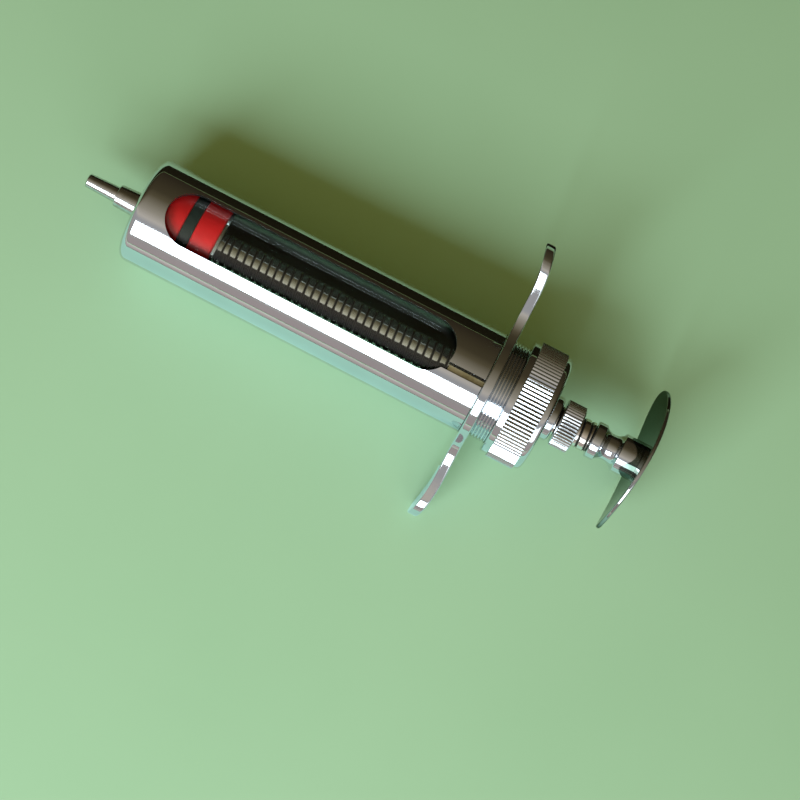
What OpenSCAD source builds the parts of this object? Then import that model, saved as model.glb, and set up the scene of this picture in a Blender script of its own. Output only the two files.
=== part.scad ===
// Metal and glass dosing syringe with a slip tip, lying on a table.
// The origin is the centre of the tip's end face. X runs along the axis towards the thumb plate and Z is up.

/* [Nozzle] */
// Length of the slip cone
cone_len = 9.1; // [7:0.1:12]
// Diameter of the cone's small end
cone_d = 3.97; // [3.9:0.01:4.1]
// Growth of the cone's diameter per unit of length
cone_taper = 0.06; // [0.05:0.005:0.08]
// Length of the hub between the cone and the sleeve
hub_len = 7.4; // [5:0.1:12]
// Diameter of the hub where it meets the cone
hub_front_d = 6.3; // [5.6:0.1:6.8]
// Diameter of the hub where it meets the sleeve
hub_rear_d = 7.1; // [6.8:0.1:8]
// Diameter of the fluid bore
fluid_d = 1.8; // [1:0.1:2.4]

/* [Sleeve] */
// Length of the sleeve from its front face to the finger plate
sleeve_len = 104; // [90:0.1:120]
// Outer diameter of the sleeve
sleeve_d = 30; // [29.6:0.1:32]
// Radius of the rounded front edge
sleeve_edge_r = 2.5; // [1:0.1:3]
// Thickness of the front wall
front_wall = 2.2; // [1.5:0.1:4]
// Inner diameter of the sleeve
sleeve_bore_d = 27; // [26.9:0.05:27.1]
// Crest diameter of the thread for the cap
sleeve_thread_d = 29.1; // [28.9:0.1:29.3]
// Pitch of the thread for the cap
sleeve_pitch = 0.9; // [0.75:0.05:1.25]
// Length of the threaded end behind the finger plate
sleeve_thread_len = 13.4; // [11:0.1:16]

/* [Windows] */
// Length of each window
window_len = 85.2; // [60:0.1:86]
// Width of each window
window_w = 15.1; // [8:0.1:18]
// Distance from the sleeve's front face to the windows
window_from_front = 8.2; // [6:0.1:12]
// Roll of the windows from straight up, towards -Y
window_roll = -6; // [-30:0.5:30]
// Width of the slit between the upper window and the finger plate
slit_w = 2.3; // [1.5:0.1:4]
// Roll of the slit from straight up
slit_roll = 7.5; // [0:0.5:15]

/* [Glass] */
// Bore of the glass cylinder
glass_bore_d = 23.7; // [23.6:0.05:23.8]
// Wall thickness of the glass
glass_wall = 1.15; // [1:0.05:1.2]
// Thickness of the front gasket
front_gasket_t = 1.5; // [1:0.1:2]
// Thickness of the rear gasket
rear_gasket_t = 1.7; // [1.5:0.1:2]
// Length of the brass centering ring
ring_len = 10.4; // [4:0.1:12]
// Width of the split in the centering ring
ring_split_w = 1.8; // [0.5:0.1:3]
// Roll of the split from straight up
ring_split_roll = 2; // [-10:0.5:10]

/* [Finger plate] */
// Thickness of the plate
plate_t = 2.8; // [1.5:0.1:3.2]
// Radius of the round middle
collar_r = 17.6; // [17:0.1:19]
// Distance from the axis to the centre of each wing's round end
lobe_at = 35.8; // [33:0.1:40]
// Radius of each wing's round end
lobe_r = 6.3; // [6:0.1:8]
// Half width of a wing at its waist
waist_r = 5.5; // [4.5:0.1:5.8]
// Radius of the fillet between the middle and a wing
wing_fillet_r = 12; // [8:0.5:14]
// Distance from the axis to where the wings start to bend forward
bend_at = 27.5; // [22:0.5:32]
// Radius of that bend
bend_r = 52; // [45:1:90]
// How far the +Y wing is rolled up from level
plate_roll = 19.5; // [0:0.5:30]

/* [Screw cap] */
// Length of sleeve thread that shows in front of the cap
thread_show = 4.7; // [1:0.1:6]
// Length of the cap
cap_len = 12.1; // [11:0.1:13]
// Thickness of the cap's rear wall
cap_wall = 2.2; // [1.5:0.1:3]
// Diameter over the knurl
cap_knurl_d = 34.6; // [34:0.1:36]
// Diameter of the plain rims
cap_rim_d = 33.4; // [32.4:0.1:33.6]
// Number of knurl ridges
cap_ridges = 96; // [60:1:120]

/* [Guide bush] */
// Diameter of the boss behind the cap
bush_d = 13; // [12:0.1:14]
// How far the boss stands behind the cap
bush_out = 2.7; // [2:0.1:5]

/* [Dose nut] */
// Length of the nut
nut_len = 5.8; // [4:0.1:7]
// Diameter over the knurl
nut_d = 13.6; // [12.6:0.1:15]
// Number of knurl ridges
nut_ridges = 43; // [24:1:48]
// Gap between the boss and the nut
nut_gap = 0.7; // [0.5:0.1:2]

/* [Plunger rod] */
// Crest diameter of the rod thread
rod_d = 8.8; // [8.6:0.1:9]
// Depth of the rod thread
rod_thread_depth = 0.65; // [0.4:0.05:0.8]
// Pitch of the rod thread, one millilitre for each turn
rod_pitch = 2.267; // [1.8:0.001:2.8]
// Length of rod that shows behind the nut
rod_show = 4.3; // [3:0.1:12]
// Running clearance on each side of the rod
run_gap = 0.05; // [0.02:0.01:0.08]

/* [Handle] */
// Diameter of the hub
handle_d = 11.2; // [10:0.1:12]
// Diameter of the front bead
bead_d = 10.6; // [10:0.1:12]
// Length of the front bead
bead_len = 2.6; // [1.5:0.1:3]
// Length of the cove between the bead and the hub
cove_len = 5.5; // [5:0.1:6.5]
// Depth of the cove
cove_depth = 1.45; // [0.8:0.05:1.6]
// Length of the hub
hub_grip_len = 5.9; // [5.5:0.1:8]

/* [Thumb plate] */
// Length of the plate along its bend
thumb_len = 42.8; // [36:0.1:44]
// Width of the plate
thumb_w = 38; // [34:0.1:42]
// Thickness of the plate
thumb_t = 1.1; // [0.8:0.1:1.5]
// How far the ends are bent towards the barrel
thumb_sag = 2.5; // [1.5:0.1:4]
// How far the +Y end is rolled up from level
thumb_roll = -15; // [-30:1:30]

/* [Piston] */
// Diameter of the piston rubbers
rubber_d = 23.6; // [23.4:0.05:23.6]
// Length of the front rubber
front_rubber_len = 6.7; // [5:0.1:8]
// Length of the spacer between the rubbers
spacer_len = 3.3; // [2:0.1:5]
// Length of the rear rubber
rear_rubber_len = 6.6; // [5:0.1:8]
// Thickness of the piston washers
washer_t = 1; // [0.8:0.1:1.4]
// Thickness of the piston nut
piston_nut_t = 1.3; // [1:0.1:1.8]

/* [Hidden] */
$fn = 96;

chrome = [0.78, 0.79, 0.80];
steel = [0.66, 0.66, 0.65];
red_rubber = [0.80, 0.07, 0.06];
black_rubber = [0.05, 0.06, 0.06];
brass = [0.72, 0.58, 0.28];
fibre = [0.75, 0.70, 0.58];
clear_glass = [0.75, 0.85, 0.83, 0.35];
nylon = [0.85, 0.84, 0.78];

// Gap of a joint that is soldered, pressed or glued
seat_gap = 0.03;
// Gap between a gasket and the wall beside it
gasket_gap = 0.3;

// Stations along the axis
x_sleeve = cone_len + hub_len;
x_inside = x_sleeve + front_wall;
x_glass = x_inside + front_gasket_t;
x_shoulder = x_sleeve + sleeve_len;
x_plate_rear = x_shoulder + plate_t;
x_sleeve_end = x_plate_rear + sleeve_thread_len;
x_cap = x_plate_rear + thread_show;
x_cap_end = x_cap + cap_len;
x_cap_inside = x_cap_end - cap_wall;
x_glass_end = x_cap_inside - rear_gasket_t;
x_bush_end = x_cap_end + bush_out;
x_nut = x_bush_end + nut_gap;
x_nut_end = x_nut + nut_len;
x_handle = x_nut_end + rod_show;
x_thumb = x_handle + bead_len + cove_len + hub_grip_len;
x_window = x_sleeve + window_from_front;

// Stations of the piston stack
x_piston = x_glass + 0.8;
x_front_washer = x_piston + piston_nut_t;
x_front_rubber = x_front_washer + washer_t;
x_spacer = x_front_rubber + front_rubber_len;
x_rear_rubber = x_spacer + spacer_len;
x_rear_washer = x_rear_rubber + rear_rubber_len;
x_rod_shoulder = x_rear_washer + washer_t;

sleeve_r = sleeve_d / 2;
sleeve_bore_r = sleeve_bore_d / 2;
thread_r = sleeve_thread_d / 2;
thread_root_r = thread_r - 0.5;
spigot_r = 3;
glass_r = glass_bore_d / 2 + glass_wall;
rod_r = rod_d / 2;
rod_root_r = rod_r - rod_thread_depth;
stem_r = 2.5;
tang_r = 3;
tang_len = 7;
rivet_r = 2;
rivet_len = 5;
handle_r = handle_d / 2;
bead_r = bead_d / 2;
thumb_bend_r = (pow(thumb_len / 2, 2) + pow(thumb_sag, 2)) / (2 * thumb_sag);

// Points along an arc, from angle a to angle b
function arc(centre, r, a, b, steps = 8) =
    [for (i = [0:steps]) centre + r * [cos(a + (b - a) * i / steps), sin(a + (b - a) * i / steps)]];

// One ridge of a straight knurl, as angle in ridge pitches and radius
function ridge(root_r, crest_r) = [[-0.32, root_r], [-0.15, crest_r], [0.15, crest_r], [0.32, root_r]];

// Outline of a straight knurl with the given number of ridges
function knurl(ridges, root_r, crest_r) =
    [for (i = [0:ridges - 1]) for (p = ridge(root_r, crest_r))
        p[1] * [cos((i + p[0]) * 360 / ridges), sin((i + p[0]) * 360 / ridges)]];

// Rings of thread profile between two stations, as station and radius
function thread_rings(from, to, pitch, root_r, crest_r) =
    [for (i = [0:floor((to - from) / pitch) - 1])
        for (p = [[0.15, root_r], [0.38, crest_r], [0.77, crest_r], [1, root_r]])
            [from + (i + p[0]) * pitch, p[1]]];

// Solid turned about the X axis from points given as station and radius
module turned(points) {
    rotate([0, 90, 0])
        rotate_extrude()
            polygon([for (p = points) [p[1], p[0]]]);
}

// Tube along X
module tube(from, to, outer_r, inner_r) {
    turned([[from, inner_r], [to, inner_r], [to, outer_r], [from, outer_r]]);
}

// Cylinder along X
module rod_along(from, to, r) {
    translate([from, 0, 0])
        rotate([0, 90, 0])
            cylinder(r = r, h = to - from);
}

// Extrusion along X of an outline drawn in Y and Z
module plate_along(from, to) {
    translate([from, 0, 0])
        rotate([90, 0, 90])
            linear_extrude(height = to - from)
                children();
}

module luer_nozzle() {
    tip_r = cone_d / 2;
    root_r = tip_r + cone_taper * cone_len / 2;
    color(steel)
        turned([[0, fluid_d / 2], [x_inside, fluid_d / 2], [x_inside, spigot_r],
                [x_sleeve, spigot_r], [x_sleeve, hub_rear_d / 2], [cone_len + 0.3, hub_front_d / 2],
                [cone_len, hub_front_d / 2 - 0.3], [cone_len, root_r], [0.15, tip_r],
                [0, tip_r - 0.15]]);
}

// Round-ended slot along X, cut from the axis outwards
module window_cut() {
    r = window_w / 2;
    linear_extrude(height = sleeve_d)
        union() {
            translate([x_window + r, 0])
                circle(r = r);
            translate([x_window + window_len - r, 0])
                circle(r = r);
            translate([x_window + r, -r])
                square([window_len - 2 * r, window_w]);
        }
}

module slit_cut() {
    start = x_window + window_len - window_w / 2;
    translate([start, -slit_w / 2, 0])
        cube([x_shoulder - start, slit_w, sleeve_d]);
}

module sleeve_body() {
    front_arc = arc([x_sleeve + sleeve_edge_r, sleeve_r - sleeve_edge_r], sleeve_edge_r, 180, 90);
    thread = thread_rings(x_plate_rear, x_sleeve_end, sleeve_pitch, thread_root_r, thread_r);
    turned(concat([[x_sleeve, spigot_r + seat_gap]], front_arc,
                  [[x_shoulder, sleeve_r], [x_shoulder, thread_r], [x_plate_rear, thread_r]],
                  [[x_plate_rear + 0.01, thread_root_r]], thread,
                  [[x_sleeve_end, thread_root_r], [x_sleeve_end, sleeve_bore_r],
                   [x_inside, sleeve_bore_r], [x_inside, spigot_r + seat_gap]]));
}

module barrel_sleeve() {
    color(chrome)
        difference() {
            sleeve_body();
            rotate([window_roll, 0, 0])
                window_cut();
            rotate([window_roll + 180, 0, 0])
                window_cut();
            rotate([slit_roll, 0, 0])
                slit_cut();
        }
}

module front_gasket() {
    color(black_rubber)
        tube(x_inside, x_glass, sleeve_bore_r - seat_gap, glass_bore_d / 2 - 0.6);
}

module glass_cylinder() {
    color(clear_glass)
        tube(x_glass, x_glass_end, glass_r, glass_bore_d / 2);
}

module centering_ring() {
    start = x_shoulder - ring_len;
    color(brass)
        difference() {
            tube(start, x_shoulder, sleeve_bore_r - seat_gap, glass_r + seat_gap);
            rotate([ring_split_roll, 0, 0])
                translate([start - 1, -ring_split_w / 2, 0])
                    cube([ring_len + 2, ring_split_w, sleeve_r]);
        }
}

// Upper edge of the +Y wing, from the round middle out to its tip
function wing_edge() =
    let (fillet_x = sqrt(pow(collar_r + wing_fillet_r, 2) - pow(waist_r + wing_fillet_r, 2)),
         fillet_c = [fillet_x, waist_r + wing_fillet_r],
         fillet_a = atan2(fillet_c[1], fillet_c[0]),
         flare_dx = lobe_at - fillet_x,
         flare_r = (pow(flare_dx, 2) + pow(waist_r, 2) - pow(lobe_r, 2)) / (2 * (lobe_r - waist_r)),
         flare_a = atan2(waist_r + flare_r, -flare_dx))
    concat(arc([0, 0], collar_r, 90, fillet_a),
           arc(fillet_c, wing_fillet_r, fillet_a - 180, -90),
           arc([fillet_x, waist_r + flare_r], flare_r, -90, flare_a - 180, 4),
           arc([lobe_at, 0], lobe_r, flare_a, 0, 12));

// Outline of the whole plate: one quarter, then its reflections
module plate_outline() {
    quarter = wing_edge();
    last = len(quarter) - 1;
    lower = [for (i = [last - 1:-1:0]) [quarter[i][0], -quarter[i][1]]];
    right = concat(quarter, lower);
    polygon(concat(right, [for (i = [len(right) - 2:-1:1]) [-right[i][0], right[i][1]]]));
}

// Side view of the plate: flat in the middle, with both wings bent forward
module plate_side_view() {
    tip_a = asin((lobe_at + lobe_r + 2 - bend_at) / bend_r);
    centre = [x_shoulder + plate_t / 2 - bend_r, bend_at];
    rear = arc(centre, bend_r + plate_t / 2, 0, tip_a);
    front = arc(centre, bend_r - plate_t / 2, tip_a, 0);
    upper = concat(rear, front);
    last = len(upper) - 1;
    polygon(concat(upper, [for (i = [last:-1:0]) [upper[i][0], -upper[i][1]]]));
}

module finger_plate() {
    color(chrome)
        rotate([plate_roll, 0, 0])
            difference() {
                intersection() {
                    plate_along(x_shoulder - 10, x_plate_rear)
                        plate_outline();
                    linear_extrude(height = 3 * collar_r, center = true)
                        plate_side_view();
                }
                rod_along(x_shoulder - 1, x_plate_rear + 1, thread_r + seat_gap);
            }
}

module rear_gasket() {
    color(fibre)
        tube(x_glass_end, x_cap_inside, sleeve_bore_r - gasket_gap, glass_bore_d / 2 - 0.9);
}

module screw_cap() {
    rim_len = 2;
    edge_r = 1.5;
    knurl_end = x_cap_end - 2;
    rim_r = cap_rim_d / 2;
    rear_arc = arc([x_cap_end - edge_r, rim_r - edge_r], edge_r, 90, 0);
    bush_hole_r = bush_d / 2 - 1;
    color(chrome)
        difference() {
            union() {
                turned(concat([[x_cap, thread_r - 1], [x_cap, rim_r - 0.4], [x_cap + 0.4, rim_r]],
                              rear_arc, [[x_cap_end, bush_hole_r], [x_cap_inside, bush_hole_r],
                               [x_cap_inside, thread_r - 1]]));
                plate_along(x_cap + rim_len, knurl_end)
                    difference() {
                        polygon(knurl(cap_ridges, rim_r + 0.05, cap_knurl_d / 2));
                        circle(r = thread_r + 1);
                    }
            }
            rod_along(x_cap - 1, x_cap_inside, thread_r + run_gap);
        }
}

module rod_guide_bush() {
    r = bush_d / 2;
    neck_r = r - 1 - seat_gap;
    edge_arc = arc([x_bush_end - 0.8, r - 0.8], 0.8, 90, 0);
    color(chrome)
        turned(concat([[x_cap_inside, rod_r + run_gap], [x_cap_inside, neck_r], [x_cap_end, neck_r],
                       [x_cap_end, r]], edge_arc, [[x_bush_end, rod_r + run_gap]]));
}

// One disc of the piston stack, bored for the rod's stem
module piston_disc(from, to, r, edge) {
    turned([[from, stem_r + run_gap], [to, stem_r + run_gap], [to, r - edge], [to - edge, r],
            [from + edge, r], [from, r - edge]]);
}

module front_piston_washer() {
    color(steel)
        piston_disc(x_front_washer, x_front_rubber, rubber_d / 2 - 1, 0.15);
}

module front_piston_rubber() {
    color(red_rubber)
        piston_disc(x_front_rubber, x_spacer, rubber_d / 2, 0.4);
}

module piston_spacer() {
    color(black_rubber)
        piston_disc(x_spacer, x_rear_rubber, rubber_d / 2 - 0.5, 0.2);
}

module rear_piston_rubber() {
    color(red_rubber)
        piston_disc(x_rear_rubber, x_rear_washer, rubber_d / 2, 0.4);
}

module rear_piston_washer() {
    color(steel)
        piston_disc(x_rear_washer, x_rod_shoulder, rubber_d / 2 - 0.6, 0.15);
}

module piston_nut() {
    color(steel)
        difference() {
            translate([x_piston, 0, 0])
                rotate([0, 90, 0])
                    cylinder(r = 5, h = piston_nut_t, $fn = 6);
            rod_along(x_piston - 1, x_piston + piston_nut_t + 1, stem_r + seat_gap);
        }
}

module plunger_rod() {
    thread = thread_rings(x_rod_shoulder + 0.8, x_handle, rod_pitch, rod_root_r, rod_r);
    tang_end = x_handle + tang_len;
    color(steel)
        turned(concat([[x_piston, 0], [x_piston, stem_r], [x_rod_shoulder, stem_r],
                       [x_rod_shoulder, rod_r], [x_rod_shoulder + 0.8, rod_r],
                       [x_rod_shoulder + 0.81, rod_root_r]], thread,
                      [[x_handle, rod_root_r], [x_handle, tang_r], [tang_end, tang_r], [tang_end, 0]]));
}

// Solid inside the curved inner face of the thumb plate
module inside_thumb_bend(r) {
    rotate([thumb_roll, 0, 0])
        translate([x_thumb + thumb_t - thumb_bend_r, 0, -thumb_w])
            cylinder(r = r, h = 2 * thumb_w, $fn = 360);
}

module handle_profile() {
    x_cove = x_handle + bead_len;
    x_hub = x_cove + cove_len;
    foot_r = 1.2;
    foot_rim = 0.5;
    cove_r = (pow(cove_len / 2, 2) + pow(cove_depth, 2)) / (2 * cove_depth);
    cove_a = asin(cove_len / 2 / cove_r);
    cove_c = [x_cove + cove_len / 2, bead_r - cove_depth + cove_r];
    tang_end = x_handle + tang_len + 0.2;
    rivet_start = x_thumb - rivet_len;
    turned(concat([[x_handle, tang_r + seat_gap], [x_handle, bead_r - 0.5],
                   [x_handle + 0.5, bead_r]],
                  arc(cove_c, cove_r, -90 - cove_a, -90 + cove_a),
                  [[x_hub + 0.1, handle_r]],
                  arc([x_thumb - foot_rim - foot_r, handle_r + foot_r], foot_r, -90, 0),
                  [[x_thumb + 1, handle_r + foot_r], [x_thumb + 1, rivet_r + seat_gap],
                   [rivet_start, rivet_r + seat_gap], [rivet_start, 1], [tang_end, 1],
                   [tang_end, tang_r + seat_gap]]));
}

module thumb_handle() {
    color(chrome)
        intersection() {
            handle_profile();
            inside_thumb_bend(thumb_bend_r - thumb_t - seat_gap / 2);
        }
}

module thumb_plate() {
    outline = [for (a = [0:5:355]) [thumb_len / 2 * cos(a), thumb_w / 2 * sin(a)]];
    color(chrome)
        difference() {
            intersection() {
                inside_thumb_bend(thumb_bend_r);
                rotate([thumb_roll, 0, 0])
                    plate_along(x_thumb - 2 * thumb_sag, x_thumb + 2 * thumb_t)
                        polygon(outline);
            }
            inside_thumb_bend(thumb_bend_r - thumb_t);
            rod_along(x_thumb - 1, x_thumb + 2 * thumb_t, rivet_r + seat_gap);
        }
}

module thumb_rivet() {
    head_r = 3.2;
    head_h = 0.7;
    dome_r = (pow(head_r, 2) + pow(head_h, 2)) / (2 * head_h);
    x_head = x_thumb + thumb_t;
    dome = arc([x_head + head_h - dome_r, 0], dome_r, asin(head_r / dome_r), 0);
    color(chrome)
        turned(concat([[x_thumb - rivet_len, 0], [x_thumb - rivet_len, rivet_r], [x_head, rivet_r],
                       [x_head, head_r]], [for (i = [1:8]) dome[i]]));
}

module dose_nut_friction_ring() {
    middle = (x_nut + x_nut_end) / 2;
    color(nylon)
        tube(middle - 0.8, middle + 0.8, rod_r + 0.8, rod_r + run_gap);
}

module dose_nut() {
    r = nut_d / 2;
    middle = (x_nut + x_nut_end) / 2;
    groove_r = rod_r + 0.8 + run_gap;
    color(chrome)
        difference() {
            intersection() {
                plate_along(x_nut, x_nut_end)
                    polygon(knurl(nut_ridges, r - 0.4, r));
                turned([[x_nut, 0], [x_nut, r - 0.45], [x_nut + 0.45, r], [x_nut_end - 0.45, r],
                        [x_nut_end, r - 0.45], [x_nut_end, 0]]);
            }
            rod_along(x_nut - 1, x_nut_end + 1, rod_r + run_gap);
            rod_along(middle - 0.85, middle + 0.85, groove_r);
        }
}

luer_nozzle();
barrel_sleeve();
front_gasket();
glass_cylinder();
centering_ring();
finger_plate();
rear_gasket();
screw_cap();
rod_guide_bush();
front_piston_washer();
front_piston_rubber();
piston_spacer();
rear_piston_rubber();
rear_piston_washer();
piston_nut();
plunger_rod();
thumb_handle();
thumb_plate();
thumb_rivet();
dose_nut_friction_ring();
dose_nut();
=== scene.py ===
"""Looks for the metal and glass dosing syringe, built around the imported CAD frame.

Lengths are in millimetres until a mesh is made. X runs along the syringe, Z is up from the table.
"""
import math

import bmesh
import bpy
from mathutils import Matrix, Vector

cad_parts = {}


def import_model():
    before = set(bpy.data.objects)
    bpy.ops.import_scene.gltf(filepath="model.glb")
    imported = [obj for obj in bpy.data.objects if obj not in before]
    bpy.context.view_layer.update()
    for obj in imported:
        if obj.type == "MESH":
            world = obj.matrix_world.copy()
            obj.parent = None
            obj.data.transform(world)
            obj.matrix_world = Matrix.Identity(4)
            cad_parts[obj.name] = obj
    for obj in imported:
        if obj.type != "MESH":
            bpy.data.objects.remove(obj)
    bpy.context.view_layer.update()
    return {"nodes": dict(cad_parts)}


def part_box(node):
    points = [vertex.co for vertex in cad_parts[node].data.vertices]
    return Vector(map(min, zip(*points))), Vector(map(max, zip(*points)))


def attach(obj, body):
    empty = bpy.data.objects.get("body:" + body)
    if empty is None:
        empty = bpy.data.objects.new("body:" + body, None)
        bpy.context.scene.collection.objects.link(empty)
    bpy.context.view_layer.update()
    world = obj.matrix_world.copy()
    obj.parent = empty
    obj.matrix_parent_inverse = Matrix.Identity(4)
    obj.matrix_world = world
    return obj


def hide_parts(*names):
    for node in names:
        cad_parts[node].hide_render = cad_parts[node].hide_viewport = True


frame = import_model()

MM = 0.001
TAU = 2 * math.pi


# ---- Sizes read from the frame ----

class Span:
    """Where a CAD node lies along the axis, and its largest radius, in millimetres."""

    def __init__(self, node):
        low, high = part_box(node)
        self.start = low.x / MM
        self.end = high.x / MM
        self.length = self.end - self.start
        self.radius = max(high.y - low.y, high.z - low.z) / 2 / MM


span = {name: Span(name) for name in frame["nodes"]}


# ---- Mesh tools ----

def rounded(points, closed=True, steps=5):
    """Replaces each corner (x, r, fillet) of a profile by an arc with that fillet radius."""
    out = []
    count = len(points)
    for i, point in enumerate(points):
        here = Vector(point[:2])
        fillet = point[2] if len(point) > 2 else 0
        at_end = not closed and i in (0, count - 1)
        if not fillet or at_end:
            out.append(tuple(here))
            continue
        to_last = Vector(points[i - 1][:2]) - here
        to_next = Vector(points[(i + 1) % count][:2]) - here
        half = to_last.angle(to_next) / 2
        reach = min(fillet / math.tan(half), 0.49 * to_last.length, 0.49 * to_next.length)
        radius = reach * math.tan(half)
        start = here + to_last.normalized() * reach
        end = here + to_next.normalized() * reach
        middle = here + (to_last.normalized() + to_next.normalized()).normalized() * radius / math.sin(half)
        turn = (start - middle).angle_signed(end - middle)
        for k in range(steps + 1):
            angle = -turn * k / steps
            arm = Matrix.Rotation(angle, 2) @ (start - middle)
            out.append(tuple(middle + arm))
    return out


def stepped(profile, spacing, closed=True):
    """Divides the profile's long stretches, so that no step is longer than spacing."""
    out = []
    pairs = list(zip(profile, profile[1:] + profile[:1])) if closed else list(zip(profile, profile[1:]))
    for a, b in pairs:
        pieces = max(1, math.ceil(math.dist(a, b) / spacing))
        dx, dr = b[0] - a[0], b[1] - a[1]
        out += [(a[0] + dx * k / pieces, a[1] + dr * k / pieces) for k in range(pieces)]
    if not closed:
        out.append(profile[-1])
    return out


def make_object(name, verts, faces):
    """Makes a closed mesh object in metres from points in millimetres, with its normals outwards."""
    mesh = bpy.data.meshes.new(name)
    mesh.from_pydata([Vector(v) * MM for v in verts], [], faces)
    obj = bpy.data.objects.new(name, mesh)
    bpy.context.scene.collection.objects.link(obj)
    work = bmesh.new()
    work.from_mesh(mesh)
    bmesh.ops.remove_doubles(work, verts=work.verts, dist=1e-8)
    bmesh.ops.recalc_face_normals(work, faces=work.faces)
    work.to_mesh(mesh)
    work.free()
    return obj


def apply_modifiers(obj):
    with bpy.context.temp_override(object=obj, active_object=obj, selected_objects=[obj]):
        for modifier in list(obj.modifiers):
            bpy.ops.object.modifier_apply(modifier=modifier.name)


def smooth(obj, sharp_angle=40):
    """Shades an object smoothly, with flat faces kept flat between their rounded edges."""
    obj.data.shade_smooth()
    obj.data.set_sharp_from_angle(angle=math.radians(sharp_angle))
    weigh = obj.modifiers.new("weigh", "WEIGHTED_NORMAL")
    weigh.keep_sharp = True
    apply_modifiers(obj)
    return obj


def lathe(name, profile, segments=160, closed=True, shape=None):
    """Turns a profile of (x, r) about the X axis. shape(x, angle, r) may change the radius."""
    verts, rows, faces = [], [], []
    for x, r in profile:
        if r < 1e-6:
            rows.append([len(verts)])
            verts.append((x, 0, 0))
            continue
        rows.append(list(range(len(verts), len(verts) + segments)))
        for k in range(segments):
            angle = TAU * k / segments
            reach = shape(x, angle, r) if shape else r
            verts.append((x, reach * math.cos(angle), reach * math.sin(angle)))
    for a, b in zip(rows, rows[1:] + (rows[:1] if closed else [])):
        for k in range(segments):
            n = (k + 1) % segments
            if len(a) == 1 and len(b) == 1:
                break
            if len(a) == 1:
                faces.append((a[0], b[k], b[n]))
            elif len(b) == 1:
                faces.append((a[k], a[n], b[0]))
            else:
                faces.append((a[k], a[n], b[n], b[k]))
    return make_object(name, verts, faces)


def turned(name, points, segments=160):
    """A smooth turned piece from a closed list of corners (x, r, fillet)."""
    return smooth(lathe(name, rounded(points), segments))


def ease(value):
    value = min(max(value, 0), 1)
    return value * value * (3 - 2 * value)


def ramp_in(x, start, end, run):
    """1 between start and end, falling to 0 over run at each end."""
    return ease((x - start) / run) * ease((end - x) / run)


def ring_arc(cx, cy, r, a, b, steps):
    return [(cx + r * math.cos(math.radians(a + (b - a) * k / steps)),
             cy + r * math.sin(math.radians(a + (b - a) * k / steps))) for k in range(steps + 1)]


def place(piece, body, slot_name, material, *nodes):
    """Gives a piece its body, its material and the CAD nodes that it stands for. slot_name is not used."""
    piece.data.materials.clear()
    piece.data.materials.append(material)
    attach(piece, body)
    if nodes:
        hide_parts(*nodes)
    return piece


# ---- Materials ----

UNPOLISHED_AND_SHADED_FROM = 0.01485  # radius in metres inside which the sleeve is unpolished and its colour is painted dark as shade
GROOVE_DIRT_AND_SHADE_FROM = 0.00437  # radius in metres inside which the rod's thread is painted dark, as dirt and as shade in its grooves
GROOVE_DIRT_AND_SHADE_FADE = 0.00035  # depth in metres over which the dirt and the painted shade set in
CHROME_LOW = (0.66, 0.71, 0.76)
CHROME_HIGH = (0.72, 0.77, 0.82)
GLASS_TINT = (0.90, 0.97, 0.95, 1)


class Shader:
    """A material with one Principled shader, and short ways to add procedural detail to it."""

    def __init__(self, name):
        self.material = bpy.data.materials.new(name)
        self.material.use_nodes = True
        self.nodes = self.material.node_tree.nodes
        self.links = self.material.node_tree.links
        self.bsdf = self.nodes["Principled BSDF"]
        self.position = self.nodes.new("ShaderNodeTexCoord").outputs["Object"]

    def set(self, **values):
        for name, value in values.items():
            self.bsdf.inputs[name.replace("_", " ")].default_value = value

    def stretched(self, scale):
        mapping = self.nodes.new("ShaderNodeMapping")
        mapping.inputs["Scale"].default_value = scale
        self.links.new(self.position, mapping.inputs["Vector"])
        return mapping.outputs["Vector"]

    def noise(self, scale, detail=4, stretch=(1, 1, 1), distortion=0.0):
        node = self.nodes.new("ShaderNodeTexNoise")
        node.inputs["Scale"].default_value = scale
        node.inputs["Detail"].default_value = detail
        node.inputs["Distortion"].default_value = distortion
        self.links.new(self.stretched(stretch), node.inputs["Vector"])
        return node.outputs["Fac"]

    def ramp(self, value, low, high, at=(0.3, 0.7)):
        """Maps a value to a grey or colour between low and high."""
        node = self.nodes.new("ShaderNodeValToRGB")
        for element, colour, position in zip(node.color_ramp.elements, (low, high), at):
            element.position = position
            element.color = (*colour, 1) if isinstance(colour, tuple) else (colour, colour, colour, 1)
        self.links.new(value, node.inputs["Fac"])
        return node.outputs["Color"]

    def drive(self, socket, value):
        self.links.new(value, self.bsdf.inputs[socket])

    def bump(self, height, distance, strength=1.0):
        node = self.nodes.new("ShaderNodeBump")
        node.inputs["Distance"].default_value = distance
        node.inputs["Strength"].default_value = strength
        self.links.new(height, node.inputs["Height"])
        self.links.new(node.outputs["Normal"], self.bsdf.inputs["Normal"])


def chrome_material(name, polish=(60, 8, 8), low=CHROME_LOW, high=CHROME_HIGH, edge=(1, 1, 1)):
    """Mirror-bright chromium plate with faint smears and polishing marks. edge is its grazing tint."""
    shader = Shader(name)
    shader.set(Metallic=1.0, Specular_Tint=(*edge, 1))
    smears = shader.noise(45, 5, distortion=0.6)
    shader.drive("Base Color", shader.ramp(smears, low, high))
    marks = shader.noise(30, 6, polish)
    shader.drive("Roughness", shader.ramp(marks, 0.035, 0.085))
    shader.bump(marks, 0.000002, 0.35)
    return shader.material


def math_node(nodes, links, operation, first, second=0.0):
    """A maths node on two inputs, each a number or another node's output."""
    node = nodes.new("ShaderNodeMath")
    node.operation = operation
    for socket, value in zip(node.inputs, (first, second)):
        if isinstance(value, (int, float)):
            socket.default_value = value
        else:
            links.new(value, socket)
    return node.outputs["Value"]


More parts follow.
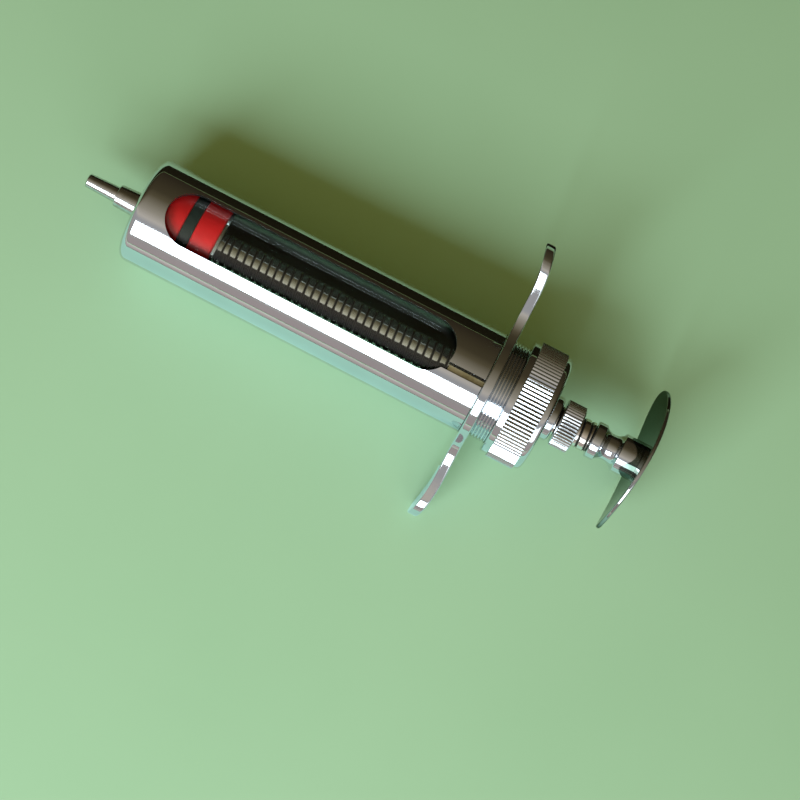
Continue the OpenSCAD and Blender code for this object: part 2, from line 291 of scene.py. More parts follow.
def change_where(material, where, **values):
    """Mixes new values into a material's driven sockets, by the factor that where(x, radius, op) makes."""
    nodes, links = material.node_tree.nodes, material.node_tree.links
    bsdf = nodes["Principled BSDF"]
    parts = nodes.new("ShaderNodeSeparateXYZ")
    links.new(nodes["Texture Coordinate"].outputs["Object"], parts.inputs["Vector"])

    def op(*terms):
        return math_node(nodes, links, *terms)

    y, z = parts.outputs["Y"], parts.outputs["Z"]
    radius = op("SQRT", op("ADD", op("MULTIPLY", y, y), op("MULTIPLY", z, z)))
    factor = where(parts.outputs["X"], radius, op)
    for name, value in values.items():
        socket = bsdf.inputs[name.replace("_", " ")]
        mix = nodes.new("ShaderNodeMix")
        mix.data_type = "RGBA"
        links.new(factor, mix.inputs["Factor"])
        links.new(socket.links[0].from_socket, mix.inputs["A"])
        mix.inputs["B"].default_value = value
        links.new(mix.outputs["Result"], socket)
    return material


def barrel_material():
    """Chrome outside. The bore and the window edges are dull and unpolished, and their colour is painted
    near-black as shade inside the tube.
    """
    def where(x, radius, op):
        behind_front_wall = op("GREATER_THAN", x, (span["barrel_sleeve"].start + 2) * MM)
        return op("MULTIPLY", op("LESS_THAN", radius, UNPOLISHED_AND_SHADED_FROM), behind_front_wall)

    chrome = chrome_material("barrel_chrome", (1.5, 30, 30))
    # The near-black base colour inside is painted shade; the higher roughness is the unpolished metal.
    return change_where(chrome, where, Base_Color=(0.10, 0.105, 0.10, 1), Roughness=(0.42, 0.42, 0.42, 1))


def rod_material():
    """Bright nickel with the grooves of the thread painted near-black: partly dark residue, partly painted
    shade.
    """
    def where(x, radius, op):
        depth = op("DIVIDE", op("SUBTRACT", GROOVE_DIRT_AND_SHADE_FROM, radius), GROOVE_DIRT_AND_SHADE_FADE)
        return op("MINIMUM", op("MAXIMUM", depth, 0.0), 0.85)

    nickel = nickel_material("rod_nickel", (0.80, 0.78, 0.74), (0.88, 0.87, 0.84), 0.06, 0.04)
    # Near-black base colour in the grooves: dirt together with painted shade.
    return change_where(nickel, where, Base_Color=(0.03, 0.03, 0.025, 1), Roughness=(0.5, 0.5, 0.5, 1))


def nickel_material(name, low, high, gloss, grain):
    """Nickel plate, duller than the chrome, with fine pits and stains."""
    shader = Shader(name)
    shader.set(Metallic=1.0)
    stain = shader.noise(700, 6)
    shader.drive("Base Color", shader.ramp(stain, low, high))
    marks = shader.noise(900, 5)
    shader.drive("Roughness", shader.ramp(marks, gloss, gloss + 0.12))
    shader.bump(marks, 0.00001, grain)
    return shader.material


def glass_material():
    """Clear glass that lets lamp light through."""
    shader = Shader("barrel_glass")
    shader.set(IOR=1.42, Roughness=0.0, Transmission_Weight=1.0, Base_Color=GLASS_TINT)
    clear = shader.nodes.new("ShaderNodeBsdfTransparent")
    clear.inputs["Color"].default_value = GLASS_TINT
    mix = shader.nodes.new("ShaderNodeMixShader")
    path = shader.nodes.new("ShaderNodeLightPath")
    shader.links.new(path.outputs["Is Shadow Ray"], mix.inputs["Fac"])
    shader.links.new(shader.bsdf.outputs["BSDF"], mix.inputs[1])
    shader.links.new(clear.outputs["BSDF"], mix.inputs[2])
    shader.links.new(mix.outputs["Shader"], shader.nodes["Material Output"].inputs["Surface"])
    return shader.material


def rubber_material(name, dark, light, roughness):
    """Moulded rubber with a faint grain and uneven sheen."""
    shader = Shader(name)
    shader.set(Specular_IOR_Level=0.25)
    cloud = shader.noise(120, 6)
    shader.drive("Base Color", shader.ramp(cloud, dark, light))
    shader.drive("Roughness", shader.ramp(shader.noise(400, 4), roughness, roughness + 0.15))
    shader.bump(shader.noise(2500, 3), 0.00001, 0.3)
    return shader.material


def brass_material():
    """Unpolished brass with dull streaks."""
    shader = Shader("dull_brass")
    shader.set(Metallic=1.0)
    shader.drive("Base Color", shader.ramp(shader.noise(250, 5), (0.34, 0.31, 0.17), (0.50, 0.46, 0.28)))
    shader.drive("Roughness", shader.ramp(shader.noise(90, 5, (40, 4, 4)), 0.28, 0.5))
    return shader.material


def fibre_material(name, dark, light):
    """Pressed fibre or nylon, matte with a fine mottle."""
    shader = Shader(name)
    shader.drive("Base Color", shader.ramp(shader.noise(900, 6), dark, light))
    shader.drive("Roughness", shader.ramp(shader.noise(500, 3), 0.5, 0.75))
    shader.bump(shader.noise(1800, 4), 0.00002, 0.4)
    return shader.material


CHROME = chrome_material("chrome_plate")
# Darker copy of the chrome for the thumb plate: its low base colour is painted shade, and its green grazing
# tint is a painted reflection of the shaded floor.
SHADED_THUMB_CHROME = chrome_material("thumb_chrome_painted_shade", low=(0.44, 0.47, 0.48), high=(0.52, 0.55, 0.56),
                               edge=(0.19, 0.24, 0.19))
BARREL_CHROME = barrel_material()
NICKEL = nickel_material("satin_nickel", (0.50, 0.52, 0.52), (0.66, 0.68, 0.68), 0.09, 0.12)
ROD_NICKEL = rod_material()
GLASS = glass_material()
RED_RUBBER = rubber_material("red_rubber", (0.56, 0.005, 0.008), (0.68, 0.010, 0.012), 0.32)
BLACK_RUBBER = rubber_material("black_rubber", (0.008, 0.014, 0.012), (0.02, 0.03, 0.026), 0.35)
BRASS = brass_material()
FIBRE = fibre_material("pressed_fibre", (0.42, 0.39, 0.29), (0.62, 0.58, 0.46))
NYLON = fibre_material("natural_nylon", (0.66, 0.64, 0.56), (0.78, 0.76, 0.68))


# ---- Barrel ----

EDGE = 0.2  # small rounding on turned edges
SEAT_GAP = 0.03  # gap between pieces that are fixed together
GLASS_BORE = 11.85
FLUID_BORE = 0.9
CONE_TIP = 1.985
CONE_ROOT = 2.255
NOZZLE_HUB_LENGTH = 7.4
NOZZLE_HUB_FRONT = 3.15
NOZZLE_HUB_REAR = 3.55
SPIGOT = 3.0
FRONT_WALL = 2.2
SLEEVE_BORE = 13.5
SLEEVE_EDGE = 2.5
SLEEVE_THREAD = 14.55
SLEEVE_PITCH = 0.9
WINDOW_WIDTH = 15.1
WINDOW_LENGTH = 85.2
WINDOW_FROM_FRONT = 8.2
WINDOW_ROLL = -6
SLIT_WIDTH = 2.3
SLIT_ROLL = 7.5


def nozzle():
    """Slip cone and stepped hub, bored through."""
    s = span["luer_nozzle"]
    sleeve_front = span["barrel_sleeve"].start
    step = sleeve_front - NOZZLE_HUB_LENGTH
    points = [(s.start, FLUID_BORE, 0.1), (s.start, CONE_TIP, 0.45), (step, CONE_ROOT, 0.15),
              (step, NOZZLE_HUB_FRONT, 0.3), (sleeve_front, NOZZLE_HUB_REAR), (sleeve_front, SPIGOT),
              (s.end, SPIGOT), (s.end, FLUID_BORE)]
    return place(turned("nozzle", points, 128), "barrel", "nickel_steel", NICKEL, "luer_nozzle")


def slot_prism(name, length, width, start, roll, depth):
    """Round-ended prism along X that stands out from the axis."""
    r = width / 2
    loop = ring_arc(start + length - r, 0, r, -90, 90, 48) + ring_arc(start + r, 0, r, 90, 270, 48)
    verts = [(x, y, z) for z in (0, depth) for x, y in loop]
    n = len(loop)
    faces = [tuple(range(n)), tuple(range(n, 2 * n))]
    faces += [(k, (k + 1) % n, n + (k + 1) % n, n + k) for k in range(n)]
    turn = Matrix.Rotation(math.radians(roll), 3, "X")
    return make_object(name, [turn @ Vector(v) for v in verts], faces)


def cut(obj, cutter):
    boolean = obj.modifiers.new("cut", "BOOLEAN")
    boolean.operation = "DIFFERENCE"
    boolean.solver = "EXACT"
    boolean.object = cutter
    apply_modifiers(obj)
    bpy.data.objects.remove(cutter, do_unlink=True)


def cylinder_normals(obj, radii, tolerance=0.02):
    """Sets exact radial normals where a mesh lies on cylinders about X, so that reflections run true."""
    mesh = obj.data
    normals = [Vector(n.vector) for n in mesh.corner_normals]
    for face in mesh.polygons:
        for corner in face.loop_indices:
            p = mesh.vertices[mesh.loops[corner].vertex_index].co
            reach = math.hypot(p.y, p.z) / MM
            radial = Vector((0, p.y, p.z)).normalized()
            facing = face.normal.dot(radial)
            if any(abs(reach - r) < tolerance for r in radii) and abs(facing) > 0.9:
                normals[corner] = radial if facing > 0 else -radial
    mesh.normals_split_custom_set(normals)


def sleeve():
    """Chromed tube with two long windows and a slit to the finger plate."""
    s = span["barrel_sleeve"]
    shoulder = span["finger_plate"].end - PLATE_THICKNESS
    inside = s.start + FRONT_WALL
    points = [(s.start, SPIGOT + SEAT_GAP), (s.start, s.radius, SLEEVE_EDGE), (shoulder, s.radius, 0.35),
              (shoulder, SLEEVE_THREAD - 0.02), (shoulder + 1, SLEEVE_THREAD - 0.02),
              (shoulder + 1, SLEEVE_BORE), (inside, SLEEVE_BORE), (inside, SPIGOT + SEAT_GAP)]
    obj = lathe("sleeve", rounded(points, steps=12), 240)
    first = s.start + WINDOW_FROM_FRONT
    cut(obj, slot_prism("w1", WINDOW_LENGTH, WINDOW_WIDTH, first, WINDOW_ROLL, 20))
    cut(obj, slot_prism("w2", WINDOW_LENGTH, WINDOW_WIDTH, first, WINDOW_ROLL + 180, 20))
    window_end = first + WINDOW_LENGTH - WINDOW_WIDTH / 2
    slit_length = shoulder - window_end + 6
    cut(obj, slot_prism("slit", slit_length, SLIT_WIDTH, window_end, SLIT_ROLL, 20))
    bevel = obj.modifiers.new("bevel", "BEVEL")
    bevel.width = 0.16 * MM
    bevel.segments = 3
    bevel.angle_limit = math.radians(50)
    bevel.harden_normals = False
    apply_modifiers(obj)
    smooth(obj, 50)
    cylinder_normals(obj, (s.radius, SLEEVE_BORE))
    return place(obj, "barrel", "chrome", BARREL_CHROME, "barrel_sleeve")


def sleeve_thread():
    """Fine right-hand thread behind the finger plate."""
    s = span["barrel_sleeve"]
    start = span["finger_plate"].end - 1.5
    root = SLEEVE_THREAD - 0.5

    def thread(x, angle, r):
        if r < root:
            return r
        phase = (x / SLEEVE_PITCH - angle / TAU) % 1
        crest = ease((0.5 - abs(phase - 0.5)) / 0.28)
        fade = ramp_in(x, start + 0.4, s.end, 0.7)
        return root + (SLEEVE_THREAD - root) * crest * fade

    points = [(start, SLEEVE_BORE), (start, root), (s.end, root), (s.end, SLEEVE_BORE)]
    profile = stepped(points, 0.075)
    obj = smooth(lathe("sleeve_thread", profile, 192, shape=thread), 60)
    return place(obj, "barrel", "chrome", CHROME, "barrel_sleeve")


def glass():
    """Glass cylinder with softened ends."""
    s = span["glass_cylinder"]
    points = [(s.start, GLASS_BORE, EDGE), (s.start, s.radius, EDGE), (s.end, s.radius, EDGE),
              (s.end, GLASS_BORE, EDGE)]
    obj = turned("glass_tube", points, 240)
    cylinder_normals(obj, (GLASS_BORE, s.radius))
    return place(obj, "barrel", "glass", GLASS, "glass_cylinder")


PLATE_THICKNESS = 2.8
PLATE_ROLL = 19.5
COLLAR = 17.6
LOBE_AT = 35.78
LOBE = 6.3
WAIST = 5.5
FILLET = 12
BEND_AT = 27.5
BEND_R = 52


def plate_quarter():
    """Outline of the finger plate from its middle's top to the tip of one wing, as (y, z)."""
    fillet_x = math.sqrt((COLLAR + FILLET) ** 2 - (WAIST + FILLET) ** 2)
    fillet_a = math.degrees(math.atan2(WAIST + FILLET, fillet_x))
    flare_dx = LOBE_AT - fillet_x
    flare_r = (flare_dx ** 2 + WAIST ** 2 - LOBE ** 2) / (2 * (LOBE - WAIST))
    flare_a = math.degrees(math.atan2(WAIST + flare_r, -flare_dx))
    return (ring_arc(0, 0, COLLAR, 90, fillet_a, 20)[:-1]
            + ring_arc(fillet_x, WAIST + FILLET, FILLET, fillet_a - 180, -90, 16)[:-1]
            + ring_arc(fillet_x, WAIST + flare_r, flare_r, -90, flare_a - 180, 8)[:-1]
            + ring_arc(LOBE_AT, 0, LOBE, flare_a, 0, 24))


def bent(y, depth):
    """How far a wing has bent forward at distance y from the axis, at a depth from its mid-plane."""
    beyond = max(0.0, abs(y) - BEND_AT)
    return BEND_R + depth - math.sqrt((BEND_R + depth) ** 2 - beyond ** 2)


def finger_plate():
    """Winged plate with rounded edges and wings bent forward."""
    s = span["finger_plate"]
    rear = s.end
    quarter = plate_quarter()
    right = quarter + [(y, -z) for y, z in reversed(quarter[:-1])]
    loop = right + [(-y, z) for y, z in reversed(right[1:-1])]
    n = len(loop)
    verts = [(x, y, z) for x in (rear - PLATE_THICKNESS, rear) for y, z in loop]
    faces = [tuple(range(n)), tuple(range(n, 2 * n))]
    faces += [(k, (k + 1) % n, n + (k + 1) % n, n + k) for k in range(n)]
    obj = make_object("finger_plate_piece", verts, faces)
    hole = [(rear - 4, 0), (rear - 4, SLEEVE_THREAD + 0.03), (rear + 2, SLEEVE_THREAD + 0.03), (rear + 2, 0)]
    cut(obj, lathe("hole", hole, 160, closed=False))
    bevel = obj.modifiers.new("bevel", "BEVEL")
    bevel.width = 0.55 * MM
    bevel.segments = 5
    bevel.angle_limit = math.radians(50)
    apply_modifiers(obj)
    work = bmesh.new()
    work.from_mesh(obj.data)
    for side in (-1, 1):
        at = BEND_AT
        while at < LOBE_AT + LOBE:
            everything = work.verts[:] + work.edges[:] + work.faces[:]
            across_wing = (0, side * at * MM, 0)
            bmesh.ops.bisect_plane(work, geom=everything, plane_co=across_wing, plane_no=(0, 1, 0))
            at += 1.0
    middle = rear - PLATE_THICKNESS / 2
    for v in work.verts:
        v.co.x -= bent(v.co.y / MM, v.co.x / MM - middle) * MM
    roll = Matrix.Rotation(math.radians(PLATE_ROLL), 3, "X")
    bmesh.ops.rotate(work, verts=work.verts, cent=(0, 0, 0), matrix=roll)
    work.to_mesh(obj.data)
    work.free()
    return place(smooth(obj, 50), "barrel", "chrome", CHROME, "finger_plate")


# ---- Cap ----

CAP_RIDGES = 96
CAP_RIM = 16.7
CAP_RIM_LENGTH = 2
CAP_WALL = 2.2
CAP_BORE = 14.6
BUSH_HOLE = 5.53
ROD_BORE = 4.45
KNURL_CREST = 0.35  # part of a ridge that is round
KNURL_RUN = 0.15  # length of the slope at each end of a knurl
KNURL_SIDES = 10  # mesh steps round each ridge
CAP_GROOVE = 0.36


def ridge(angle, count):
    """Height of a straight knurl from 0 to 1: round crests with V grooves between them."""
    off_crest = abs((angle * count / TAU) % 1 - 0.5) * 2
    if off_crest < KNURL_CREST:
        return 1 - off_crest ** 2 / (2 * KNURL_CREST) / (1 - KNURL_CREST / 2)
    return (1 - off_crest) / (1 - KNURL_CREST / 2)


def knurled(start, end, count, height, depth, least):
    """Shape function for a knurl with grooves of that depth between two stations, on radii over least."""
    def shape(x, angle, r):
        if r < least:
            return r
        return r + (height - depth + depth * ridge(angle, count)) * ramp_in(x, start, end, KNURL_RUN)
    return shape


def knurl_steps(profile, start, end, radius):
    """Adds stations to a profile, close together where a knurl starts and ends."""
    near = [KNURL_RUN * k / 4 for k in range(5)]
    stations = [start + step for step in near] + [start + 1, (start + end) / 2, end - 1]
    stations += [end - step for step in reversed(near)]
    out = []
    for a, b in zip(profile, profile[1:] + profile[:1]):
        out.append(a)
        if abs(a[1] - radius) < 0.01 and abs(b[1] - radius) < 0.01 and b[0] - a[0] > KNURL_RUN:
            out += [(x, radius) for x in stations if a[0] < x < b[0]]
    return out


def screw_cap():
    """Cap with a straight knurl between two plain rims."""
    s = span["screw_cap"]
    wall = s.end - CAP_WALL
    start, end = s.start + CAP_RIM_LENGTH, s.end - CAP_RIM_LENGTH
    points = [(s.start, CAP_BORE, EDGE), (s.start, CAP_RIM, 0.5), (s.end, CAP_RIM, 1.5),
              (s.end, BUSH_HOLE), (wall, BUSH_HOLE), (wall, CAP_BORE)]
    shape = knurled(start, end, CAP_RIDGES, s.radius - CAP_RIM, CAP_GROOVE, CAP_RIM - 0.01)
    profile = knurl_steps(rounded(points), start, end, CAP_RIM)
    obj = smooth(lathe("cap", profile, CAP_RIDGES * KNURL_SIDES, shape=shape))
    return place(obj, "cap", "chrome", CHROME, "screw_cap")


def guide_bush():
    """Stepped bush that guides the rod through the cap."""
    s = span["rod_guide_bush"]
    cap_end = span["screw_cap"].end
    neck = BUSH_HOLE - 0.06
    points = [(s.start, ROD_BORE), (s.start, neck), (cap_end, neck), (cap_end, s.radius),
              (s.end, s.radius, 0.8), (s.end, ROD_BORE, 0.25)]
    return place(turned("guide_bush", points), "cap", "chrome", CHROME, "rod_guide_bush")


# ---- Piston ----

STEM = 2.5
STEM_BORE = 2.55


def disc(name, node, edge, slot_name, material):
    """One disc of the piston, bored for the rod's stem."""
    s = span[node]
    points = [(s.start, STEM_BORE), (s.start, s.radius, edge), (s.end, s.radius, edge), (s.end, STEM_BORE)]
    return place(turned(name, points, 192), "piston", slot_name, material, node)


def piston():
    """Two red rubbers with a black one between them, held by two washers."""
    disc("front_washer", "front_piston_washer", 0.15, "nickel_steel", NICKEL)
    disc("front_rubber", "front_piston_rubber", 0.7, "red_rubber", RED_RUBBER)
    disc("rubber_spacer", "piston_spacer", 0.4, "black_rubber", BLACK_RUBBER)
    disc("rear_rubber", "rear_piston_rubber", 0.7, "red_rubber", RED_RUBBER)
    disc("rear_washer", "rear_piston_washer", 0.2, "nickel_steel", NICKEL)


# ---- Plunger ----

ROD_PITCH = 2.267
ROD_ROOT = 3.8
ROD_FLANK = 0.17  # part of the pitch that each flank takes
TANG = 3.0


def rod():
    """Rod with a rounded right-hand thread over its whole visible length."""
    s = span["plunger_rod"]
    shoulder = span["rear_piston_washer"].end
    handle = span["thumb_handle"].start

    def thread(x, angle, r):
        if r < ROD_ROOT - 0.01 or x < shoulder:
            return r
        phase = (x / ROD_PITCH - angle / TAU) % 1
        crest = min(1, (0.5 - abs(phase - 0.5)) / ROD_FLANK)
        fade = ramp_in(x, shoulder + 0.8, handle, 0.5)
        collar = 1 - ease((x - shoulder - 0.6) / 0.3)
        return ROD_ROOT + (s.radius - ROD_ROOT) * max(crest * fade, collar)

    points = [(s.start, 0), (s.start, STEM), (shoulder, STEM), (shoulder, ROD_ROOT),
              (handle, ROD_ROOT), (handle, TANG), (s.end, TANG), (s.end, 0)]
    profile = stepped(points, 0.1, closed=False)
    obj = smooth(lathe("rod", profile, 96, closed=False, shape=thread), 35)
    cylinder_normals(obj, (s.radius,), 0.002)
    return place(obj, "plunger", "nickel_steel", ROD_NICKEL, "plunger_rod")


BEAD = 5.3
BEAD_LENGTH = 2.6
COVE_LENGTH = 5.5
COVE_DEPTH = 1.45
HUB = 5.6
RIVET = 2.0
RIVET_LENGTH = 5
PASSAGE = 1.0


def handle():
    """Turned handle: bead, cove and hub, bored for the rod's tang and the rivet."""
    s = span["thumb_handle"]
    bead_end = s.start + BEAD_LENGTH
    hub = bead_end + COVE_LENGTH
    rear = s.end - 0.1
    rivet_hole, tang_hole = s.end - RIVET_LENGTH, s.end - 6.7
    half = COVE_LENGTH / 2
    cove_r = (half ** 2 + COVE_DEPTH ** 2) / (2 * COVE_DEPTH)
    cove_a = math.degrees(math.asin(half / cove_r))
    middle = ((bead_end + hub) / 2, BEAD - COVE_DEPTH + cove_r)
    cove = ring_arc(*middle, cove_r, -90 - cove_a, -90 + cove_a, 14)
    points = [(s.start, TANG + SEAT_GAP), (s.start, BEAD, 0.5), (*cove[0], 0.25)] + cove[1:]
    points += [(hub + 0.3, HUB, 0.3), (rear, HUB), (rear, RIVET + SEAT_GAP),
               (rivet_hole, RIVET + SEAT_GAP), (rivet_hole, PASSAGE), (tang_hole, PASSAGE),
               (tang_hole, TANG + SEAT_GAP)]
    return place(turned("handle", points), "plunger", "chrome", CHROME, "thumb_handle")


THUMB_ROLL = -15
THUMB_T = 1.1
THUMB_SAG = 2.5
THUMB_LENGTH = 42.8
THUMB_WIDTH = 37.98


def thumb_plate():
    """Oval disc bent across its width, with rounded edges."""
    s = span["thumb_plate"]
    back = s.end
    r = THUMB_LENGTH / 2
    bend = (r ** 2 + THUMB_SAG ** 2) / (2 * THUMB_SAG)
    hole = RIVET + SEAT_GAP
    points = [(0, hole), (0, r, 0.45), (THUMB_T, r, 0.45), (THUMB_T, hole)]
    obj = lathe("thumb_plate_piece", stepped(rounded(points), 0.7), 192)
    turn = Matrix.Rotation(math.radians(THUMB_ROLL), 3, "X")
    for v in obj.data.vertices:
        x, y, z = (c / MM for c in v.co)
        reach = bend - THUMB_T + x
        angle = y / bend
        hub = ease((math.hypot(y, z) - hole) / 3)
        z *= 1 + (THUMB_WIDTH / THUMB_LENGTH - 1) * hub
        place_at = Vector((back - bend + reach * math.cos(angle), reach * math.sin(angle), z))
        v.co = turn @ place_at * MM
    # The thumb plate's chrome is darkened with painted shade.
    return place(smooth(obj), "plunger", "chrome", SHADED_THUMB_CHROME, "thumb_plate")


RIVET_HEAD = 3.2
RIVET_DOME = 0.7


def rivet():
    """Rivet with a low domed head, which holds the thumb plate."""
    s = span["thumb_rivet"]
    head = span["thumb_plate"].end
    dome_r = (RIVET_HEAD ** 2 + RIVET_DOME ** 2) / (2 * RIVET_DOME)
    top = math.degrees(math.asin(RIVET_HEAD / dome_r))
    dome = ring_arc(s.end - dome_r, 0, dome_r, top, 0, 12)
    profile = [(s.start, 0), (s.start, RIVET), (head, RIVET), (head, RIVET_HEAD)] + dome[1:-1]
    profile.append((s.end, 0))
    obj = smooth(lathe("rivet", profile, 96, closed=False))
    return place(obj, "plunger", "chrome", CHROME, "thumb_rivet")


NUT_RIDGES = 43
NUT_GROOVE = 0.33


def dose_nut():
    """Knurled nut with rounded rims, threaded on the rod."""
    s = span["dose_nut"]
    root = s.radius - 0.42
    start, end = s.start + 0.25, s.end - 0.25
    points = [(s.start, ROD_BORE, EDGE), (s.start, root, EDGE), (s.end, root, EDGE),
              (s.end, ROD_BORE, EDGE)]
    shape = knurled(start, end, NUT_RIDGES, s.radius - root, NUT_GROOVE, root - 0.01)
    profile = knurl_steps(rounded(points), start, end, root)
    obj = smooth(lathe("dose_nut_piece", profile, NUT_RIDGES * KNURL_SIDES, shape=shape))
    return place(obj, "nut", "chrome", CHROME, "dose_nut")


def dress_cad_nodes():
    """Procedural materials for the small CAD nodes that are shown as they are."""
    finishes = {"front_gasket": BLACK_RUBBER, "centering_ring": BRASS, "rear_gasket": FIBRE,
                "piston_nut": NICKEL, "dose_nut_friction_ring": NYLON}
    for node, material in finishes.items():
        mesh = frame["nodes"][node].data
        mesh.materials.clear()
        mesh.materials.append(material)


# ---- Stage, light and camera ----

CAMERA_LEAN = math.radians(5.5)
IMAGE_ROLL = math.radians(27.2)
CAMERA_DISTANCE = 0.5838
AIM_X = 0.1027
AIM_DOWN = 0.01444
LENS = 96.75
VIEW_AXIS = Vector((0, -math.sin(CAMERA_LEAN), math.cos(CAMERA_LEAN)))
ACROSS = Vector((0, -math.cos(CAMERA_LEAN), -math.sin(CAMERA_LEAN)))
AIM = Vector((AIM_X, 0, 0)) + AIM_DOWN * ACROSS


def camera():
    """Camera that looks almost straight down, with the syringe running diagonally across the picture."""
    data = bpy.data.cameras.new("camera")
    data.lens = LENS
    data.sensor_width = 36
    data.clip_start = 0.01
    data.clip_end = 50
    right = math.cos(IMAGE_ROLL) * Vector((1, 0, 0)) - math.sin(IMAGE_ROLL) * ACROSS
    down = math.sin(IMAGE_ROLL) * Vector((1, 0, 0)) + math.cos(IMAGE_ROLL) * ACROSS
    obj = bpy.data.objects.new("camera", data)
    turn = Matrix((right, -down, VIEW_AXIS)).transposed().to_4x4()
    obj.matrix_world = Matrix.Translation(AIM + CAMERA_DISTANCE * VIEW_AXIS) @ turn
    bpy.context.scene.collection.objects.link(obj)
    bpy.context.scene.camera = obj


def area_light(name, angle, distance, size, power, colour, lean_x=0.0):
    """Softbox that faces the syringe from an angle off the view axis, towards the -Y side."""
    data = bpy.data.lights.new(name, "AREA")
    data.shape = "RECTANGLE"
    data.size, data.size_y = size
    data.energy = power
    data.color = colour
    obj = bpy.data.objects.new(name, data)
    away = math.cos(math.radians(angle)) * VIEW_AXIS + math.sin(math.radians(angle)) * ACROSS
    away = (away + Vector((lean_x, 0, 0))).normalized()
    side = Vector((1, 0, 0)) - away * away.x
    side.normalize()
    turn = Matrix((side, away.cross(side), away)).transposed().to_4x4()
    obj.matrix_world = Matrix.Translation(Vector((0.085, 0, 0)) + distance * away) @ turn
    obj.visible_camera = False
    bpy.context.scene.collection.objects.link(obj)


FLOOR_PITCH = 0.0316  # fall of the floor for each unit of length along the syringe
FLOOR_SIZE = 3000


def floor():
    """Plain pale floor that the sleeve, one wing and the thumb plate rest on."""
    size = FLOOR_SIZE
    front = span["barrel_sleeve"].start + SLEEVE_EDGE
    top = -span["barrel_sleeve"].radius - 0.04
    verts = [(front + dx, dy, top - FLOOR_PITCH * dx) for dx, dy in
             ((-size, -size), (size, -size), (size, size), (-size, size))]
    obj = make_object("floor", verts, [(0, 1, 2, 3)])
    shader = Shader("floor_mat")
    shader.drive("Base Color", shader.ramp(shader.noise(9, 3), (0.44, 0.72, 0.47), (0.47, 0.75, 0.50)))
    shader.set(Roughness=0.85, Specular_IOR_Level=0.2)
    obj.data.materials.append(shader.material)


def card(name, corners, dark, light):
    """Studio card that only the chrome and the glass see."""
    obj = make_object(name, corners, [(0, 1, 2, 3)])
    shader = Shader(name + "_mat")
    shader.drive("Base Color", shader.ramp(shader.noise(20, 3), dark, light))
    shader.set(Roughness=1.0, Specular_IOR_Level=0.0)
    obj.data.materials.append(shader.material)
    obj.visible_camera = False
    obj.visible_diffuse = False
    obj.visible_shadow = False


DARK_CARD_Y = 52
LYING_CARD_Z = -14.2
# Cards on the floor, as name, nearest Y, farthest Y, darkest and lightest colour
LYING_CARDS = [("mint_card", -24, -112, (0.56, 0.95, 0.82), (0.60, 0.98, 0.86)),
               ("black_strip", -112, -118, (0.02, 0.02, 0.02), (0.03, 0.03, 0.03)),
               ("grey_card", -118, -600, (0.55, 0.45, 0.45), (0.58, 0.48, 0.47))]


def cards():
    """A dark card that stands on the +Y side, and three that lie on the floor on the -Y side."""
    left, right, low, high = -500, 700, -36, 10
    corners = [(x, DARK_CARD_Y, z) for x, z in ((left, low), (right, low), (right, high), (left, high))]
    card("dark_card", corners, (0.012, 0.009, 0.004), (0.02, 0.015, 0.008))
    left, right = -200, 400
    for name, near, far, dark, light in LYING_CARDS:
        corners = [(x, y, LYING_CARD_Z - FLOOR_PITCH * x)
                   for x, y in ((left, near), (right, near), (right, far), (left, far))]
        card(name, corners, dark, light)


# Colours of the room by angle about the syringe, in degrees from the view axis towards -Y
ROOM = [(-180, (0.019, 0.013, 0.008)), (-105, (0.022, 0.015, 0.009)), (-60, (0.053, 0.04, 0.02)),
        (-46, (0.062, 0.047, 0.024)), (-32, (0.106, 0.083, 0.045)), (-16, (0.23, 0.193, 0.134)),
        (0, (0.362, 0.312, 0.239)), (16, (0.574, 0.501, 0.423)), (25, (0.402, 0.377, 0.366)),
        (64, (0.402, 0.36, 0.325)), (75, (0.42, 0.345, 0.325)), (120, (0.42, 0.345, 0.325))]

FILL = (0.21, 0.16, 0.05)  # weak warm light in the shadows
BACKDROP = (0.36, 0.62, 0.40)  # what the camera sees past the floor


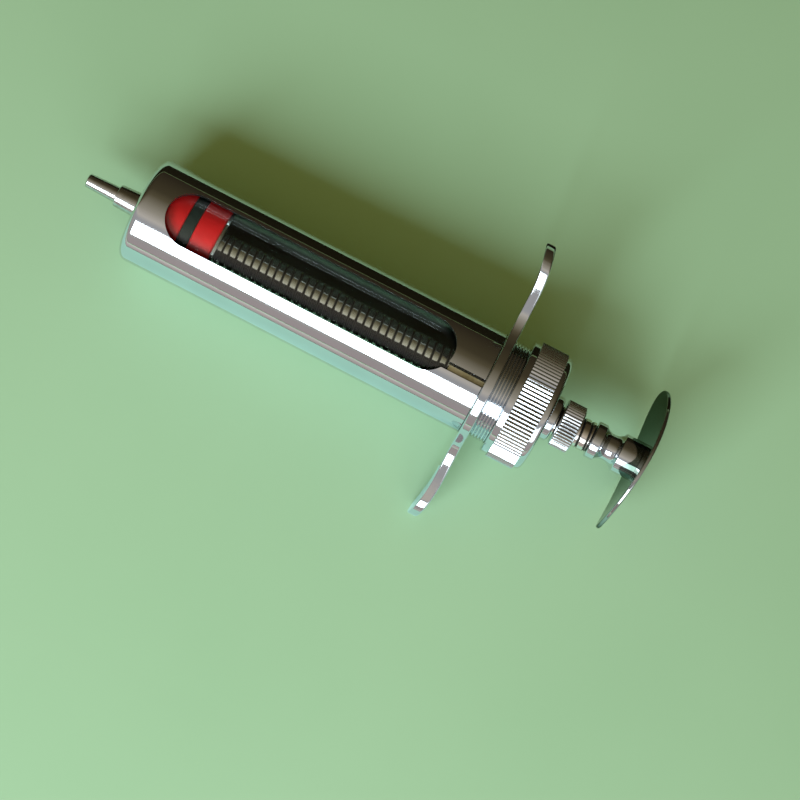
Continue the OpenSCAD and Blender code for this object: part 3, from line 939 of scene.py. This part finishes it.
def world():
    """Room that runs from dark on the +Y side to light above, with a pale backdrop for direct views."""
    room = bpy.data.worlds.new("room")
    bpy.context.scene.world = room
    room.use_nodes = True
    nodes, links = room.node_tree.nodes, room.node_tree.links
    background = nodes["Background"]
    direction = nodes.new("ShaderNodeTexCoord").outputs["Generated"]

    def along(axis):
        dot = nodes.new("ShaderNodeVectorMath")
        dot.operation = "DOT_PRODUCT"
        dot.inputs[1].default_value = axis
        links.new(direction, dot.inputs[0])
        return dot.outputs["Value"]

    angle = nodes.new("ShaderNodeMath")
    angle.operation = "ARCTAN2"
    links.new(along(ACROSS), angle.inputs[0])
    links.new(along(VIEW_AXIS), angle.inputs[1])
    turn = nodes.new("ShaderNodeMapRange")
    turn.inputs["From Min"].default_value = -math.pi
    turn.inputs["From Max"].default_value = math.pi
    links.new(angle.outputs["Value"], turn.inputs["Value"])
    ramp = nodes.new("ShaderNodeValToRGB")
    links.new(turn.outputs["Result"], ramp.inputs["Fac"])
    elements = ramp.color_ramp.elements
    elements[1].position = (ROOM[-1][0] + 180) / 360
    for degrees, _ in ROOM[1:-1]:
        elements.new((degrees + 180) / 360)
    for element, (_, colour) in zip(elements, ROOM):
        element.color = (*colour, 1)
    links.new(ramp.outputs["Color"], background.inputs["Color"])
    path = nodes.new("ShaderNodeLightPath")
    seen = background.outputs["Background"]
    for ray, colour in (("Is Diffuse Ray", FILL), ("Is Camera Ray", BACKDROP)):
        other = nodes.new("ShaderNodeBackground")
        other.inputs["Color"].default_value = (*colour, 1)
        mix = nodes.new("ShaderNodeMixShader")
        links.new(path.outputs[ray], mix.inputs["Fac"])
        links.new(seen, mix.inputs[1])
        links.new(other.outputs["Background"], mix.inputs[2])
        seen = mix.outputs["Shader"]
    links.new(seen, nodes["World Output"].inputs["Surface"])


def light_the_scene():
    """World, and two window lights side by side on the -Y side."""
    world()
    area_light("window_light", 46.5, 0.95, (0.55, 0.50), 7.0, (0.86, 0.95, 0.97), -0.16)
    area_light("window_light_right", 46.5, 1.0, (0.74, 0.53), 2.2, (0.86, 0.95, 0.97), 0.44)
    bpy.context.scene.view_settings.view_transform = "Standard"


camera()
nozzle()
sleeve()
sleeve_thread()
glass()
finger_plate()
screw_cap()
guide_bush()
piston()
rod()
handle()
thumb_plate()
rivet()
dose_nut()
dress_cad_nodes()
floor()
cards()
light_the_scene()
